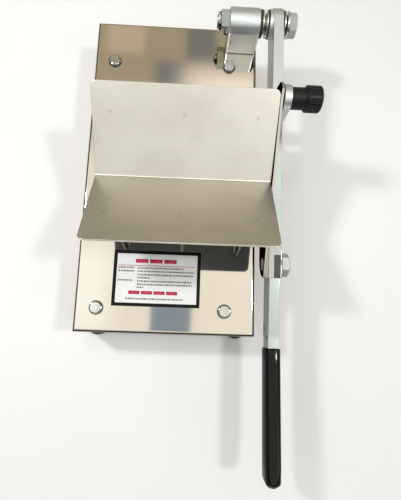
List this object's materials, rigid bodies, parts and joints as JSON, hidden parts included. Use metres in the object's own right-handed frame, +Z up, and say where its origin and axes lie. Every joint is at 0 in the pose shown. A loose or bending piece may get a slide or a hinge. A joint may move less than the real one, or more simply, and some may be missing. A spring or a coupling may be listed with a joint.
{
  "type": "frozen meat slicer",
  "caption": "Tabletop lever slicer: a hinged knife arm chops past the open end of a V-shaped feed trough on a folded steel base with rubber feet.",
  "frame": {"origin": "middle of the bounding box on the table plane, under the feet", "axes": "+Z up, +Y from the handle to the pivot, +X towards the knife side"},
  "size_m": [0.201, 0.4252, 0.1376],
  "materials": {
    "base_steel": "polished stainless sheet",
    "trough_steel": "satin stainless sheet with faint weld marks",
    "rib_steel": "satin stainless sheet",
    "zinc_steel": "zinc-plated steel",
    "spring_steel": "bright spring steel",
    "dark_steel": "blackened steel",
    "grey_paint": "glossy light grey paint",
    "black_rubber": "matt black rubber",
    "friction_black": "dull black friction sheet",
    "bush_bronze": "plain bearing bronze",
    "grip_black": "dipped glossy black plastic",
    "knob_black": "moulded black plastic",
    "blade_steel": "ground blade steel",
    "clip_steel": "satin stainless sheet",
    "label_white": "printed white film, plain bars in place of words",
    "label_black": "black printed border"
  },
  "bodies": {
    "base": {"base_shell": "base_steel", "trough": "trough_steel", "rib_left": "rib_steel", "rib_middle": "rib_steel", "rib_right": "rib_steel", "base_rails": "zinc_steel", "base_bolts": "zinc_steel", "base_nuts": "zinc_steel", "foot_screws": "zinc_steel", "foot_nuts": "zinc_steel", "post_plate": "zinc_steel", "post_screws": "zinc_steel", "pivot_bolt": "zinc_steel", "pivot_nut": "zinc_steel", "pivot_washer": "zinc_steel", "rib_screws": "zinc_steel", "rib_nuts": "zinc_steel", "rest_bracket": "zinc_steel", "rest_screws": "zinc_steel", "rest_nuts": "zinc_steel", "cup_springs": "spring_steel", "pivot_post": "grey_paint", "foot_pads": "black_rubber", "rest_bumper": "black_rubber", "friction_washers": "friction_black", "label_plate": "label_white", "label_frame": "label_black"},
    "arm": {"knife_arm": "grey_paint", "arm_bush": "bush_bronze", "handle_grip": "grip_black", "blade": "blade_steel", "blade_clip": "clip_steel", "blade_bolt": "zinc_steel", "blade_washer": "zinc_steel", "blade_lock_washer": "dark_steel", "blade_nut": "zinc_steel", "pin_sleeve": "zinc_steel", "pin_spring": "spring_steel"},
    "knob": {"pull_knob": "knob_black", "pull_pin": "zinc_steel"}
  },
  "joints": [
    {"name": "knife_swing", "type": "hinge", "parent": "base", "child": "arm", "pos_m": [0.0735, 0.19809, 0.0853], "axis": [-1, 0, 0], "range_deg": [0, 75]},
    {"name": "knob_pull", "type": "slide", "parent": "arm", "child": "knob", "axis": [1, 0, 0], "range_m": [0, 0.004], "stiffness_N_per_m": 800, "springref_m": -0.004, "deforming": ["pin_spring"]}
  ]
}
